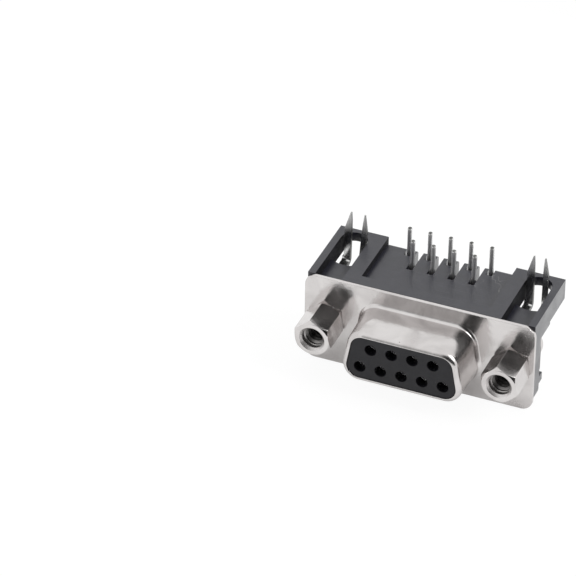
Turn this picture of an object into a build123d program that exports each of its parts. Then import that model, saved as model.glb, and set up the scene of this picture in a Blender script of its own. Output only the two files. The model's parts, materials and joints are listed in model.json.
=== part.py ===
from build123d import *
from math import cos, radians, tan
import os

# Right-angle D connector with nine sockets, in millimetres.
# +X is to the right for whoever plugs in, +Y runs to the rear and +Z points to the circuit board.
# The origin is the centre of the D, on the front face of the metal flange.

# Contact layout
PITCH = 2.77
ROW_HEIGHT = 1.42
LOWER_COUNT = 5
UPPER_COUNT = 4
TAIL_NEAR_ROW = 8.37
TAIL_ROW_SPACING = 2.54

# Screw axes, which set how wide the flange and the housing are
SCREW_SPACING = 24.99
FLANGE_EAR = 2.91
HOUSING_INSET = 0.205
LOCK_OFFSET = 0.145
HOLE_OFFSET = 0.06

# Metal shell
FLANGE_HEIGHT = 12.55
FLANGE_CORNER = 1.5
FLANGE_SHEET = 0.5
D_WIDTH = 16.33
D_HEIGHT = 7.9
D_SLANT = 10
D_CORNER = 2.5
D_REACH = 6.0
D_SHEET = 0.45
D_DRAFT = 2.4
RIM_WIDTH = 0.6
RIM_ROUND = 0.75
ROOT_CHAMFER = 0.3

# Board seat and the housing around it
SEAT_HEIGHT = 6.3
WALL_BOTTOM = -6.2
WALL_CORNER = 1.5
WALL_THICKNESS = 2.4
HOUSING_REAR = 11.65
PAD_THICKNESS = 1.3
SIDE_RIB_HEIGHT = 2.9
SIDE_RIB_THICKNESS = 0.9
FOOT_WIDTH = 1.35
FOOT_LENGTH = 1.2
RECESS_WIDTH = 17.3
RECESS_DEPTH = 0.95
RECESS_FRONT = 2.25

# Hood with its cavity, comb slots and cover
HOOD_WIDTH = 17.8
HOOD_BOTTOM = -3.4
HOOD_CORNER = 0.95
HOOD_REAR_ROUND = 0.5
SHOULDER_WIDTH = 1.8
CAVITY_WIDTH = 14.4
CAVITY_TOP = 2.8
CAVITY_BOTTOM = -2.4
CAVITY_SLANT = 6
CAVITY_CORNER = 0.3
WINDOW_STEP = 0.4
SLOT_WIDTH = 0.84
NEAR_SLOT_LEAD = 1.2
FAR_SLOT_LEAD = 0.95
COVER_THICKNESS = 1.35

# Board locks, with the trough and the through hole that each one stands in
HOLE_WIDTH = 3.6
HOLE_FRONT = 5.6
HOLE_REAR = 10.95
HOLE_FRONT_BOW = 0.6
TROUGH_DEPTH = 1.5
SILL_LENGTH = 0.7
SILL_HEIGHT = 0.3
STRAP_SHEET = 0.5
STRAP_WIDTH = 3.4
STRAP_BEND = 0.3
LEG_WIDTH = 5.2
LEG_CORNER = 1.0
FORK_GAP = 1.12
FORK_SLOT = 1.2
FORK_PLACE = 9.45
FORK_REACH = 4.1
FORK_TAPER = 2.55
FORK_TIP_INSET = 0.06
FORK_TIP_WIDTH = 0.16
FORK_ROOT = 0.1
PRONG_WIDTHS = (0.93, 0.68)
LEANS_LEFT = (0.1, 0.56)
LEANS_RIGHT = (0.0, 0.1)
LEDGE_HEIGHT = 1.1
LEDGE_LENGTH = 1.1
LEDGE_TOP = -2.9

# Front insulator and contact retainer
BLOCK_FACE = 5.87
BLOCK_FLANGE_BORDER = 1.15
BLOCK_FLANGE_THICKNESS = 1.1
RETAINER_THICKNESS = 1.3
SOCKET_HOLE_RADIUS = 0.75

# Socket contacts
BARREL_RADIUS = 0.69
SOCKET_RADIUS = 0.52
SOCKET_DEPTH = 5.0
SOCKET_INSET = 1.3
TINE_SLIT = 0.2
TINE_LENGTH = 3.6
COLLAR_WIDTH = 1.9
COLLAR_LENGTH = 0.65
CONTACT_SIDES = 8
TAIL_RADIUS = 0.31
TAIL_BEND = 0.9
TAIL_REACH = 2.77
TAIL_POINT = 0.4
TAIL_POINT_RADIUS = 0.15

# Jackscrews and their nuts
HEX_ACROSS_FLATS = 4.58
HEX_LENGTH = 4.76
HEX_CHAMFER = 0.38
HEX_TURN = 40
THREAD_RADIUS = 1.42
THREAD_DEPTH = 4.0
COUNTERSINK_RADIUS = 1.75
COUNTERSINK_DEPTH = 0.35
STUD_RADIUS = 1.4
STUD_BEYOND_NUT = 0.6
NUT_RADIUS = 2.2
NUT_LENGTH = 2.5

# Clearances
BLOCK_CLEARANCE = 0.05
COVER_CLEARANCE = 0.05
TAIL_CLEARANCE = 0.05
SCREW_CLEARANCE = 0.15
THREAD_CLEARANCE = 0.03
LEG_CLEARANCE = 0.05
NUT_CLEARANCE = 0.3
REACH_THROUGH = 1.0
NEAR = 0.001

# Places that follow from the sizes above
flange_width = SCREW_SPACING + 2 * FLANGE_EAR
housing_width = flange_width - 2 * HOUSING_INSET
lock_spacing = SCREW_SPACING - 2 * LOCK_OFFSET
hole_spacing = SCREW_SPACING - 2 * HOLE_OFFSET
rim_inset = D_REACH * tan(radians(D_DRAFT)) + RIM_WIDTH
wall_front = FLANGE_SHEET
wall_rear = wall_front + WALL_THICKNESS
pocket_rear = wall_front + BLOCK_FLANGE_THICKNESS
retainer_rear = pocket_rear + RETAINER_THICKNESS
recess_floor = SEAT_HEIGHT - RECESS_DEPTH
pad_underside = SEAT_HEIGHT - PAD_THICKNESS
rib_underside = SEAT_HEIGHT - SIDE_RIB_HEIGHT
trough_floor = SEAT_HEIGHT - TROUGH_DEPTH
strap_underside = NUT_RADIUS + NUT_CLEARANCE
strap_top = strap_underside + STRAP_SHEET
above_seat = SEAT_HEIGHT + REACH_THROUGH
fork_front = FORK_PLACE - STRAP_SHEET / 2
fork_rear = FORK_PLACE + STRAP_SHEET / 2
leg_rear = wall_rear + STRAP_SHEET
nut_rear = leg_rear + NUT_LENGTH
tail_far_row = TAIL_NEAR_ROW + TAIL_ROW_SPACING
tail_tip = SEAT_HEIGHT + TAIL_REACH
cover_front = HOUSING_REAR - COVER_THICKNESS


def row_places(count):
    """X of each contact in a row that is centred on the axis."""
    return [PITCH * (i - (count - 1) / 2) for i in range(count)]


def slab(section, front, rear):
    """A section drawn in X and Z, made solid between two places along Y."""
    return extrude(Plane.XZ.offset(-rear) * section, rear - front)


def block(x_range, y_range, z_range):
    """A square-edged block between the given limits."""
    size = [high - low for low, high in (x_range, y_range, z_range)]
    centre = [(high + low) / 2 for low, high in (x_range, y_range, z_range)]
    return Pos(*centre) * Box(*size)


def rod(radius, front, rear, x, z):
    """A round rod along Y."""
    return slab(Pos(x, z) * Circle(radius), front, rear)


def square_rod(width, front, rear, x, z):
    """A square bar along Y."""
    return slab(Pos(x, z) * Rectangle(width, width), front, rear)


def d_section(width, height, corner):
    """D outline with its wide side down: a trapezium with four rounded corners."""
    slope = tan(radians(D_SLANT))
    half_low = width / 2 + corner * (1 / cos(radians(D_SLANT)) - 1 + slope)
    half_high = half_low - height * slope
    low, high = -height / 2, height / 2
    outline = Polyline((-half_low, low), (half_low, low), (half_high, high), (-half_high, high), close=True)
    face = make_face(outline)
    return fillet(face.vertices(), corner)


def shell_section(inset):
    """The D of the shell, moved inwards by the inset (outwards where it is negative)."""
    return d_section(D_WIDTH - 2 * inset, D_HEIGHT - 2 * inset, D_CORNER - inset)


def drafted_d(inset, reach):
    """A D that starts at the flange face and narrows forwards with the draft of the shell."""
    return extrude(Plane.XZ * shell_section(inset), reach, taper=D_DRAFT)


def cavity_section(border):
    """The hood's cavity: a flatter D, wider away from the board, with a border added all round."""
    slope = tan(radians(CAVITY_SLANT))
    low = CAVITY_BOTTOM - border
    high = CAVITY_TOP + border
    half_high = CAVITY_WIDTH / 2 + border
    half_low = half_high + (high - low) * slope
    outline = Polyline((-half_low, low), (half_low, low), (half_high, high), (-half_high, high), close=True)
    face = make_face(outline)
    return fillet(face.vertices(), CAVITY_CORNER)


def edges_at(solid, place):
    """The edges that lie in the plane at this place along Y."""
    return solid.edges().filter_by_position(Axis.Y, place - NEAR, place + NEAR)


def make_front_shell():
    """Drawn shell: a flat flange, a flared root, a tapered D wall and a rim turned inwards."""
    outline = RectangleRounded(flange_width, FLANGE_HEIGHT, FLANGE_CORNER)
    shell = slab(outline, 0, FLANGE_SHEET) + drafted_d(0, D_REACH)
    root = [edge for edge in edges_at(shell, 0) if abs(edge.center().X) < D_WIDTH / 2 + D_CORNER]
    root = [edge for edge in root if abs(edge.center().Z) < D_HEIGHT / 2 + NEAR]
    shell = chamfer(root, ROOT_CHAMFER)
    shell = fillet(edges_at(shell, -D_REACH), RIM_ROUND)
    shell -= drafted_d(D_SHEET, D_REACH - D_SHEET)
    shell -= slab(shell_section(D_SHEET), 0, FLANGE_SHEET)
    shell -= slab(shell_section(rim_inset), -D_REACH - REACH_THROUGH, 0)
    for side in (-1, 1):
        x = side * SCREW_SPACING / 2
        shell -= rod(STUD_RADIUS + SCREW_CLEARANCE, -REACH_THROUGH, FLANGE_SHEET + REACH_THROUGH, x, 0)
    return shell


def make_contact_block():
    """Front insulator: it fills the D, steps in behind the rim and ends in a clamped flange."""
    body_inset = D_SHEET + BLOCK_CLEARANCE
    nose_rear = -D_REACH + D_SHEET + BLOCK_CLEARANCE
    nose = slab(shell_section(rim_inset + BLOCK_CLEARANCE), -BLOCK_FACE, nose_rear)
    body = drafted_d(body_inset, -nose_rear) + slab(shell_section(body_inset), 0, wall_front)
    flange = slab(shell_section(-BLOCK_FLANGE_BORDER), wall_front, pocket_rear)
    insulator = nose + body + flange
    collar_front = pocket_rear - COLLAR_LENGTH - TAIL_CLEARANCE
    for x, z, _ in contact_places():
        insulator -= rod(SOCKET_HOLE_RADIUS, -D_REACH, pocket_rear, x, z)
        insulator -= square_rod(COLLAR_WIDTH + 2 * TAIL_CLEARANCE, collar_front, pocket_rear, x, z)
    return insulator


def make_contact_retainer():
    """Rear insulator: a plate behind the block that traps the collars of the contacts."""
    plate = slab(cavity_section(WINDOW_STEP - COVER_CLEARANCE), pocket_rear, retainer_rear)
    for x, z, _ in contact_places():
        plate -= square_rod(2 * (TAIL_RADIUS + TAIL_CLEARANCE), pocket_rear, retainer_rear, x, z)
    return plate


def contact_places():
    """X, Z and tail place of every contact: the row far from the board first."""
    lower = [(x, -ROW_HEIGHT, tail_far_row) for x in row_places(LOWER_COUNT)]
    upper = [(x, ROW_HEIGHT, TAIL_NEAR_ROW) for x in row_places(UPPER_COUNT)]
    return lower + upper


def make_contact(x, z, tail_place):
    """Socket with two tines, a square collar and a tail that turns up to the board."""
    mouth = -BLOCK_FACE + SOCKET_INSET
    collar_front = pocket_rear - COLLAR_LENGTH
    barrel = Pos(x, z) * RegularPolygon(BARREL_RADIUS, CONTACT_SIDES)
    bore = Pos(x, z) * RegularPolygon(SOCKET_RADIUS, CONTACT_SIDES)
    contact = slab(barrel, mouth, collar_front)
    contact += square_rod(COLLAR_WIDTH, collar_front, pocket_rear, x, z)
    contact -= slab(bore, mouth, mouth + SOCKET_DEPTH)
    slit_x = (x - COLLAR_WIDTH / 2, x + COLLAR_WIDTH / 2)
    slit_z = (z - TINE_SLIT / 2, z + TINE_SLIT / 2)
    contact -= block(slit_x, (mouth, mouth + TINE_LENGTH), slit_z)
    wire = RegularPolygon(TAIL_RADIUS, CONTACT_SIDES)
    half_turn = TAIL_BEND * (1 - cos(radians(45)))
    point_start = tail_tip - TAIL_POINT
    route = Polyline(
        (x, pocket_rear, z),
        (x, tail_place - TAIL_BEND, z),
        (x, tail_place - half_turn, z + half_turn),
        (x, tail_place, z + TAIL_BEND),
        (x, tail_place, point_start),
    )
    contact += sweep(Plane(origin=route @ 0, z_dir=(0, 1, 0)) * wire, path=route, transition=Transition.RIGHT)
    point = Pos(x, tail_place, tail_tip) * RegularPolygon(TAIL_POINT_RADIUS, CONTACT_SIDES)
    return contact + loft([Pos(x, tail_place, point_start) * wire, point], ruled=True)


def lock_hole(side):
    """Through hole for one board lock: straight sides, a bowed front end and a round rear end."""
    x = side * hole_spacing / 2
    half = HOLE_WIDTH / 2
    bow_y = HOLE_FRONT + HOLE_FRONT_BOW
    round_y = HOLE_REAR - half
    front = ThreePointArc((x - half, bow_y), (x, HOLE_FRONT), (x + half, bow_y))
    right = Line((x + half, bow_y), (x + half, round_y))
    rear = ThreePointArc((x + half, round_y), (x, HOLE_REAR), (x - half, round_y))
    left = Line((x - half, round_y), (x - half, bow_y))
    face = make_face(Curve() + [front, right, rear, left])
    return extrude(Pos(0, 0, strap_underside) * face, above_seat - strap_underside)


def side_range(side, inner, outer):
    """A span of X on one side, from the distances of its two ends from the middle."""
    return tuple(sorted((side * inner, side * outer)))


def make_rear_housing():
    """Right-angle bracket: a wall behind the flange, a board seat, a hood and a comb in one moulding."""
    half = housing_width / 2
    hood_half = HOOD_WIDTH / 2
    wall = block((-half, half), (wall_front, wall_rear), (WALL_BOTTOM, SEAT_HEIGHT))
    low_corners = wall.edges().filter_by(Axis.Y).sort_by(Axis.Z)[:2]
    wall = fillet(low_corners, WALL_CORNER)
    seat = block((-half, half), (wall_rear, HOUSING_REAR), (pad_underside, SEAT_HEIGHT))
    hood = block((-hood_half, hood_half), (wall_rear, HOUSING_REAR), (HOOD_BOTTOM, recess_floor))
    hood = fillet(hood.edges().filter_by(Axis.Y).sort_by(Axis.Z)[:2], HOOD_CORNER)
    housing = wall + seat + hood
    for side in (-1, 1):
        hole_x = hole_spacing / 2
        shoulder = side_range(side, hood_half, hood_half + SHOULDER_WIDTH)
        housing += block(shoulder, (wall_rear, HOUSING_REAR), (rib_underside, SEAT_HEIGHT))
        rib = side_range(side, half - SIDE_RIB_THICKNESS, half)
        housing += block(rib, (wall_rear, HOUSING_REAR), (rib_underside, SEAT_HEIGHT))
        foot = side_range(side, half - FOOT_WIDTH, half)
        housing += block(foot, (HOUSING_REAR - FOOT_LENGTH, HOUSING_REAR), (rib_underside, SEAT_HEIGHT))
        wing = side_range(side, hood_half, half)
        housing += block(wing, (wall_rear, HOLE_FRONT + HOLE_FRONT_BOW), (strap_top, SEAT_HEIGHT))
        housing += block(wing, (wall_rear, wall_rear + LEDGE_LENGTH), (LEDGE_TOP - LEDGE_HEIGHT, LEDGE_TOP))
        trough = side_range(side, hole_x - HOLE_WIDTH / 2, hole_x + HOLE_WIDTH / 2)
        sill_rear = wall_front + SILL_LENGTH
        housing -= block(trough, (sill_rear, HOLE_REAR - HOLE_WIDTH / 2), (trough_floor, above_seat))
        housing -= block(trough, (wall_front, sill_rear), (trough_floor + SILL_HEIGHT, above_seat))
        housing -= lock_hole(side)
        screw_x = side * SCREW_SPACING / 2
        housing -= rod(STUD_RADIUS + SCREW_CLEARANCE, wall_front, wall_rear, screw_x, 0)
    recess_half = RECESS_WIDTH / 2
    housing -= block((-recess_half, recess_half), (RECESS_FRONT, HOUSING_REAR), (recess_floor, above_seat))
    rear_edges = edges_at(housing, HOUSING_REAR)
    comb_edge = [edge for edge in rear_edges if abs(edge.center().Z - recess_floor) < NEAR]
    housing = fillet(comb_edge, HOOD_REAR_ROUND)
    housing -= slab(shell_section(-BLOCK_FLANGE_BORDER - BLOCK_CLEARANCE), wall_front, pocket_rear)
    housing -= slab(cavity_section(WINDOW_STEP), pocket_rear, retainer_rear)
    housing -= slab(cavity_section(0), retainer_rear, HOUSING_REAR)
    near_row = [(x, TAIL_NEAR_ROW - NEAR_SLOT_LEAD) for x in row_places(UPPER_COUNT)]
    far_row = [(x, tail_far_row - FAR_SLOT_LEAD) for x in row_places(LOWER_COUNT)]
    for x, slot_front in near_row + far_row:
        slot = (x - SLOT_WIDTH / 2, x + SLOT_WIDTH / 2)
        housing -= block(slot, (slot_front, HOUSING_REAR), (CAVITY_TOP - REACH_THROUGH, recess_floor))
    return housing


def make_rear_cover():
    """Plug that closes the hood from behind, with a groove for each tail of the far row."""
    cover = slab(cavity_section(-COVER_CLEARANCE), cover_front, HOUSING_REAR)
    groove_bottom = -ROW_HEIGHT - TAIL_RADIUS - TAIL_CLEARANCE
    groove_rear = tail_far_row + TAIL_RADIUS + TAIL_CLEARANCE
    for x in row_places(LOWER_COUNT):
        groove = (x - SLOT_WIDTH / 2, x + SLOT_WIDTH / 2)
        cover -= block(groove, (cover_front, groove_rear), (groove_bottom, CAVITY_TOP))
    return cover


def prong(x, hand, low, width, lean):
    """One prong of a fork: straight inside, tapered outside to a blunt tip and bent to lean in X."""
    inner = FORK_GAP / 2
    outer = inner + width
    tip = SEAT_HEIGHT + FORK_REACH
    corners = [
        (inner, low),
        (outer, low),
        (outer, tip - FORK_TAPER),
        (inner + FORK_TIP_INSET + FORK_TIP_WIDTH, tip),
        (inner + FORK_TIP_INSET, tip),
        (inner, tip - FORK_TAPER / 2),
    ]
    bent = [(x + hand * across + lean * (z - low) / (tip - low), z) for across, z in corners]
    return make_face(Polyline(*bent, close=True))


def strap_side_view(low, high):
    """The strap seen from its side: down the wall, under the seat and up again at the fork."""
    leg_middle = (wall_rear + leg_rear) / 2
    run_middle = (strap_top + strap_underside) / 2
    corners = [(leg_middle, low), (leg_middle, run_middle), (FORK_PLACE, run_middle), (FORK_PLACE, high)]
    middle = FilletPolyline(*corners, radius=STRAP_BEND + STRAP_SHEET / 2)
    return trace(middle, line_width=STRAP_SHEET)


def make_board_lock(side, leans):
    """Bent strap: a leg under the nut, a run below the seat and a two-prong fork through the hole."""
    x = side * lock_spacing / 2
    screw_x = side * SCREW_SPACING / 2
    leg_bottom = LEDGE_TOP + LEG_CLEARANCE
    fork_low = strap_top + STRAP_BEND + FORK_ROOT
    leg_top = strap_underside - STRAP_BEND
    side_view = strap_side_view(leg_bottom + LEG_CORNER, fork_low)
    strap = extrude(Plane.YZ.offset(x - STRAP_WIDTH / 2) * side_view, STRAP_WIDTH)
    leg = RectangleRounded(LEG_WIDTH, leg_top - leg_bottom, LEG_CORNER)
    strap += slab(Pos(screw_x, (leg_top + leg_bottom) / 2) * leg, wall_rear, leg_rear)
    gap = (x - FORK_GAP / 2, x + FORK_GAP / 2)
    strap -= block(gap, (fork_front - FORK_SLOT, fork_rear), (strap_underside, fork_low))
    for hand, width, lean in zip((-1, 1), PRONG_WIDTHS, leans):
        strap += slab(prong(x, hand, fork_low, width, lean), fork_front, fork_rear)
    return strap - rod(STUD_RADIUS + SCREW_CLEARANCE, wall_rear, leg_rear, screw_x, 0)


def make_clinch_nut(side):
    """Round threaded collar that the jackscrew pulls against the strap."""
    x = side * SCREW_SPACING / 2
    nut = rod(NUT_RADIUS, leg_rear, nut_rear, x, 0)
    return nut - rod(STUD_RADIUS + THREAD_CLEARANCE, leg_rear, nut_rear, x, 0)


def make_jackscrew(side):
    """Hex standoff with a countersunk threaded hole in front and a stud to the rear."""
    x = side * SCREW_SPACING / 2
    corner_radius = HEX_ACROSS_FLATS / 2 / cos(radians(30))
    hexagon = RegularPolygon(HEX_ACROSS_FLATS / 2, 6, major_radius=False, rotation=HEX_TURN)
    prism = slab(Pos(x, 0) * hexagon, -HEX_LENGTH, 0)
    turned = rod(corner_radius, -HEX_LENGTH, 0, x, 0)
    turned = chamfer(edges_at(turned, -HEX_LENGTH) + edges_at(turned, 0), HEX_CHAMFER)
    screw = prism & turned
    screw += rod(STUD_RADIUS, 0, nut_rear + STUD_BEYOND_NUT, x, 0)
    screw -= rod(THREAD_RADIUS, -HEX_LENGTH, -HEX_LENGTH + THREAD_DEPTH, x, 0)
    sink = Cone(THREAD_RADIUS, COUNTERSINK_RADIUS, COUNTERSINK_DEPTH)
    return screw - Pos(x, -HEX_LENGTH + COUNTERSINK_DEPTH / 2, 0) * Rot(X=90) * sink


def write_part(name, shape):
    """Write one node and print its volume."""
    export_step(shape, f"parts/{name}.step")
    print(f"{name}: {len(shape.solids())} solid, {shape.volume:.3f} mm3")


os.makedirs("parts", exist_ok=True)
write_part("front_shell", make_front_shell())
write_part("contact_block", make_contact_block())
write_part("contact_retainer", make_contact_retainer())
write_part("rear_housing", make_rear_housing())
write_part("rear_cover", make_rear_cover())
for number, (x, z, tail_place) in enumerate(contact_places(), start=1):
    write_part(f"contact_{number}", make_contact(x, z, tail_place))
for name, side, leans in (("left", -1, LEANS_LEFT), ("right", 1, LEANS_RIGHT)):
    write_part(f"board_lock_{name}", make_board_lock(side, leans))
    write_part(f"clinch_nut_{name}", make_clinch_nut(side))
    write_part(f"jackscrew_{name}", make_jackscrew(side))
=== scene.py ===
# %% [markdown]
# # A right-angle D connector with sockets, dressed for rendering
#
# The construction comes in as the frame: every piece is already there at its real size, in metres, with
# +X to the right for whoever plugs in, +Y to the rear and +Z towards the circuit board. This script adds
# what a camera sees and a drawing leaves out: broken edges, screw threads, round contact tails, and the
# finish of every surface.

import json
from math import pi, radians

import bmesh
import bpy
from mathutils import Matrix, Vector


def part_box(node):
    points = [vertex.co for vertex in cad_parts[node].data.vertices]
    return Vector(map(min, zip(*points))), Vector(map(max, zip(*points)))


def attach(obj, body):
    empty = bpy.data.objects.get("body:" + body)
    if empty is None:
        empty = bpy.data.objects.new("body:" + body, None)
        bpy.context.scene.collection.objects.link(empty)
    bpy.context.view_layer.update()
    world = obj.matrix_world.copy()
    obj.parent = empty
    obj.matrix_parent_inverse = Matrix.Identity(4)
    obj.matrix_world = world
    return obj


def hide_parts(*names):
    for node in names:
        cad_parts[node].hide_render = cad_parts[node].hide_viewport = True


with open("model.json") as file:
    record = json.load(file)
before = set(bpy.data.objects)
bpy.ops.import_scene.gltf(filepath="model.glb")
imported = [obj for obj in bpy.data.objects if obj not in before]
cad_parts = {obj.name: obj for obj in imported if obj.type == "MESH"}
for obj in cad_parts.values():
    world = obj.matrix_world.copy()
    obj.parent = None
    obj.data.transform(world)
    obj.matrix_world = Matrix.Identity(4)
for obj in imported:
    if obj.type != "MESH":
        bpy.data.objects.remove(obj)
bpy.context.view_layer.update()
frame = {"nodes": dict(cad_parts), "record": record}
nodes = frame["nodes"]
MM = 0.001
print("pieces in the frame:", len(nodes))

# %% [markdown]
# ## The camera
# The photograph was taken from far away with a long lens, which keeps parallel edges nearly parallel. A
# camera placed close by with a short lens would fill the frame as well, but it would make the near screw
# look larger than the far one. So this one stands half a metre off and a long lens brings the connector
# close. It looks down at 35 degrees and the part stays in the right half of the frame, where it is in the
# photograph.

# %% Camera
CAMERA_PLACE = (0.150824, -0.415400, 0.321477)
CAMERA_TURN = (54.6389, -0.5453, 22.4687)
CAMERA_LENS = 272.11
SENSOR_WIDTH = 36
NEAREST_SEEN = 0.01
FARTHEST_SEEN = 20

camera_data = bpy.data.cameras.new("camera")
camera_data.lens = CAMERA_LENS
camera_data.sensor_width = SENSOR_WIDTH
camera_data.clip_start = NEAREST_SEEN
camera_data.clip_end = FARTHEST_SEEN
camera = bpy.data.objects.new("camera", camera_data)
camera.location = CAMERA_PLACE
camera.rotation_euler = [radians(angle) for angle in CAMERA_TURN]
bpy.context.scene.collection.objects.link(camera)
bpy.context.scene.camera = camera
print("camera is", round(Vector(CAMERA_PLACE).length, 3), "m from the part")

# %% [markdown]
# ## A short way to write node trees
# A material in Blender is a small graph. Written out in full, each node takes four or five lines, and the
# idea of the finish gets lost. These helpers add one node per line, so a finish reads from top to bottom:
# where on the piece, which pattern, how strong. The same helpers build the Geometry Nodes further down.

# %% Node helpers


def add(tree, kind, settings=(), **sockets):
    """Add a node. A socket is given either its value or the output that feeds it."""
    node = tree.nodes.new(kind)
    for key, value in dict(settings).items():
        setattr(node, key, value)
    for name, value in sockets.items():
        socket = node.inputs[name.replace("_", " ")]
        if isinstance(value, bpy.types.NodeSocket):
            tree.links.new(value, socket)
        else:
            socket.default_value = value
    return node


def calculate(tree, operation, *values):
    """One step of arithmetic on numbers or outputs."""
    node = tree.nodes.new("ShaderNodeMath")
    node.operation = operation
    for socket, value in zip(node.inputs, values):
        if isinstance(value, bpy.types.NodeSocket):
            tree.links.new(value, socket)
        else:
            socket.default_value = value
    return node.outputs[0]


print("node helpers ready")

# %% [markdown]
# ## Where a pattern lies
# A pattern needs a place to start from. Object coordinates are measured in metres on the piece itself, so
# grain keeps its real size and stays put when the camera moves. Stretching them along one axis turns round
# patches into streaks.

# %% Pattern helpers
SPOT_CORE = 0.4
CELLS_WITHOUT_SPOT = 0.66


def place_on_piece(tree, stretch=(1, 1, 1), centre=(0, 0, 0)):
    """Object coordinates, moved to a centre and stretched along an axis to make streaks."""
    where = add(tree, "ShaderNodeTexCoord").outputs["Object"]
    moved = add(tree, "ShaderNodeVectorMath", {"operation": "SUBTRACT"})
    tree.links.new(where, moved.inputs[0])
    moved.inputs[1].default_value = centre
    scaled = add(tree, "ShaderNodeVectorMath", {"operation": "MULTIPLY"})
    tree.links.new(moved.outputs[0], scaled.inputs[0])
    scaled.inputs[1].default_value = stretch
    return scaled.outputs[0]


def grain(tree, where, size, detail=2.0, distortion=0.0):
    """Soft noise whose patches are about this size, in metres."""
    noise = add(tree, "ShaderNodeTexNoise", Vector=where, Detail=detail, Distortion=distortion)
    noise.inputs["Scale"].default_value = 1 / size
    return noise.outputs["Fac"]


def spread(tree, value, low, high, out_low, out_high):
    """Take a pattern's middle values and stretch them over a new range."""
    ranged = add(tree, "ShaderNodeMapRange", {"interpolation_type": "SMOOTHSTEP"}, Value=value)
    limits = {"From Min": low, "From Max": high, "To Min": out_low, "To Max": out_high}
    for name, limit in limits.items():
        ranged.inputs[name].default_value = limit
    return ranged.outputs["Result"]


def small_spots(tree, spacing, radius):
    """Small round spots, in about a third of the cells of a loose pattern."""
    cells = add(tree, "ShaderNodeTexVoronoi", Vector=place_on_piece(tree), Scale=1 / spacing)
    spot = spread(tree, cells.outputs["Distance"], radius / spacing, SPOT_CORE * radius / spacing, 0, 1)
    lot = add(tree, "ShaderNodeSeparateColor", Color=cells.outputs["Color"]).outputs[0]
    return calculate(tree, "MULTIPLY", spot, calculate(tree, "GREATER_THAN", lot, CELLS_WITHOUT_SPOT))


print("pattern helpers ready")

# %% Shader helpers


def blend_colours(tree, share, first, second):
    """Mix two colours by a share between 0 and 1."""
    mixed = add(tree, "ShaderNodeMix", {"data_type": "RGBA"})
    tree.links.new(share, mixed.inputs[0])
    for socket, colour in ((mixed.inputs[6], first), (mixed.inputs[7], second)):
        if isinstance(colour, bpy.types.NodeSocket):
            tree.links.new(colour, socket)
        else:
            socket.default_value = (*colour, 1)
    return mixed.outputs[2]


def relief(tree, height, depth, below=None):
    """Raise and lower the surface by a pattern, to a depth in metres."""
    bump = add(tree, "ShaderNodeBump", Height=height, Distance=depth)
    if below is not None:
        tree.links.new(below, bump.inputs["Normal"])
    return bump.outputs["Normal"]


def new_finish(name, **constants):
    """A material with its main shader. Values that are the same all over go on the shader itself."""
    material = bpy.data.materials.new(name)
    material.use_nodes = True
    tree = material.node_tree
    shader = tree.nodes["Principled BSDF"]
    for socket, value in constants.items():
        shader.inputs[socket.replace("_", " ")].default_value = value
    return material, tree, shader


print("shader helpers ready")

# %% [markdown]
# ## Black moulded plastic
# The housing is a glass-filled polyester. Its colour is nearly black, and what the eye reads as charcoal
# grey is the satin surface reflecting a white room. That is why the walls of the troughs, which face other
# black walls, stay black, while a side seen at a low angle turns pale. A grey base colour would lift the
# troughs as well, so the colour stays dark and a clear coat adds the second reflection. Six patterns break
# it up: a faint mottle in the colour, slow changes in gloss where the melt flowed, a fine grain left by
# the mould, long rub marks, a stray winding scratch in the recess between the board pads, and specks of
# dust. The scratch could be a drawn curve, but the contour line of a slow noise wanders by itself.

# %% Moulded plastic
FLOW_SIZE = 3.0 * MM
FLOW_RANGE = (0.3, 0.7)
MOTTLE_SIZE = 0.7 * MM
MOTTLE_RANGE = (0.35, 0.7)
MOULD_GRAIN_SIZE = 0.11 * MM
RUB_WIDTH = 0.22 * MM
RUB_STRETCH = (0.06, 1, 1)
RUB_RANGE = (0.60, 0.72)
RUB_DEPTH = 0.006 * MM
DUST_SPACING = 0.75 * MM
DUST_RADIUS = 0.055 * MM
DUST_COLOUR = (0.045, 0.045, 0.05)
SCRATCH_CENTRE = (6.9 * MM, 8.3 * MM, 5.35 * MM)
SCRATCH_REACH = 2.3 * MM
SCRATCH_BENDS = 2.6 * MM
SCRATCH_THINNESS = 0.006
SCRATCH_COLOUR = (0.16, 0.16, 0.16)


def scratch(tree):
    """A thin winding scratch: the contour line of a slow noise, only near a centre."""
    slow = grain(tree, place_on_piece(tree), SCRATCH_BENDS)
    contour = calculate(tree, "ABSOLUTE", calculate(tree, "SUBTRACT", slow, 0.5))
    line = spread(tree, contour, SCRATCH_THINNESS, 0.0, 0, 1)
    far = add(tree, "ShaderNodeVectorMath", {"operation": "LENGTH"})
    tree.links.new(place_on_piece(tree, centre=SCRATCH_CENTRE), far.inputs[0])
    near = spread(tree, far.outputs["Value"], SCRATCH_REACH, SCRATCH_REACH * 0.6, 0, 1)
    return calculate(tree, "MULTIPLY", line, near)


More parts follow.
